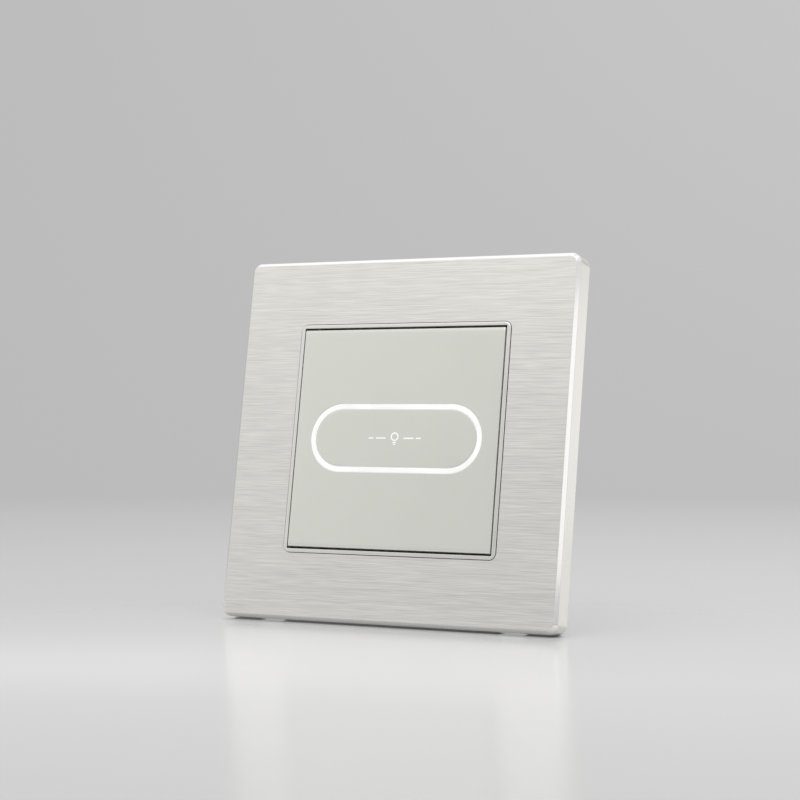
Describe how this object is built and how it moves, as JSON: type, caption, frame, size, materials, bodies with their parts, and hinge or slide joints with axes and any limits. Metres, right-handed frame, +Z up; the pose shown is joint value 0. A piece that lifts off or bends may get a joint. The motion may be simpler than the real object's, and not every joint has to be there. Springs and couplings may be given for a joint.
{
  "type": "rocker wall switch",
  "caption": "Square wall switch: brushed metal plate around a self-centring rocker key with a lit stadium ring, on a steel yoke with a screw-terminal body.",
  "frame": {"origin": "centre of the whole switch's bounding box: X and Z at the middle of the plate, and Y midway between the key's face and the back of the terminal case. The wall plane is at Y = -10.3 mm.", "axes": "+X to the right of someone facing the switch, +Y into the wall, +Z up; the key faces -Y"},
  "size_m": [0.086, 0.034, 0.086],
  "materials": {
    "brushed_plate": "brushed, polished chamfer",
    "bezel_metal": "satin",
    "key_satin": "satin lacquer",
    "ring_glow": "opal, lit white",
    "ivory_plastic": "moulded",
    "white_plastic": "moulded",
    "grey_plastic": "moulded, fine texture",
    "board_laminate": "solder mask",
    "led_package": "moulded",
    "zinc_steel": "zinc plated",
    "spring_steel": "drawn",
    "brass": "stamped",
    "silver_contact": "silver plated"
  },
  "bodies": {
    "base": {"face_plate": "brushed_plate", "trim_bezel": "bezel_metal", "plate_carrier": "ivory_plastic", "mechanism_housing": "white_plastic", "terminal_case": "grey_plastic", "led_board": "board_laminate", "led_1": "led_package", "led_2": "led_package", "led_3": "led_package", "led_4": "led_package", "led_5": "led_package", "led_6": "led_package", "mounting_yoke": "zinc_steel", "mounting_screw_left": "zinc_steel", "mounting_screw_right": "zinc_steel", "case_screw_left": "zinc_steel", "case_screw_right": "zinc_steel", "housing_screw_1": "zinc_steel", "housing_screw_2": "zinc_steel", "housing_screw_3": "zinc_steel", "housing_screw_4": "zinc_steel", "board_screw_1": "zinc_steel", "board_screw_2": "zinc_steel", "terminal_screw_neutral": "zinc_steel", "terminal_screw_live": "zinc_steel", "terminal_screw_upper_load": "zinc_steel", "terminal_screw_lower_load": "zinc_steel", "pivot_pin_left": "spring_steel", "pivot_pin_right": "spring_steel", "upper_return_spring": "spring_steel", "lower_return_spring": "spring_steel", "common_contact": "brass", "upper_fixed_contact": "brass", "lower_fixed_contact": "brass", "neutral_contact": "brass", "supply_pin_live": "brass", "supply_pin_neutral": "brass", "terminal_neutral": "brass", "terminal_live": "brass", "terminal_upper_load": "brass", "terminal_lower_load": "brass"},
    "rocker": {"rocker_key": "key_satin", "key_inlay": "key_satin", "ring_diffuser": "ring_glow", "rocker_cradle": "white_plastic"},
    "upper_pusher": {"upper_plunger": "ivory_plastic", "upper_bridge_contact": "silver_contact"},
    "lower_pusher": {"lower_plunger": "ivory_plastic", "lower_bridge_contact": "silver_contact"}
  },
  "joints": [
    {"name": "rocker_tilt", "type": "hinge", "parent": "base", "child": "rocker", "pos_m": [0, -0.0093, 0], "axis": [1, 0, 0], "range_deg": [-2.5, 2.5], "stiffness_Nm_per_rad": 0.3},
    {"name": "upper_plunger_slide", "type": "slide", "parent": "base", "child": "upper_pusher", "axis": [0, 1, 0], "range_m": [-0.0008, 0.0008], "deforming": ["upper_return_spring"]},
    {"name": "lower_plunger_slide", "type": "slide", "parent": "base", "child": "lower_pusher", "axis": [0, 1, 0], "range_m": [-0.0008, 0.0008], "deforming": ["lower_return_spring"]}
  ],
  "couplings": [
    {"joint": "upper_plunger_slide", "follows": "rocker_tilt", "m_per_rad": -0.017},
    {"joint": "lower_plunger_slide", "follows": "rocker_tilt", "m_per_rad": 0.017}
  ]
}
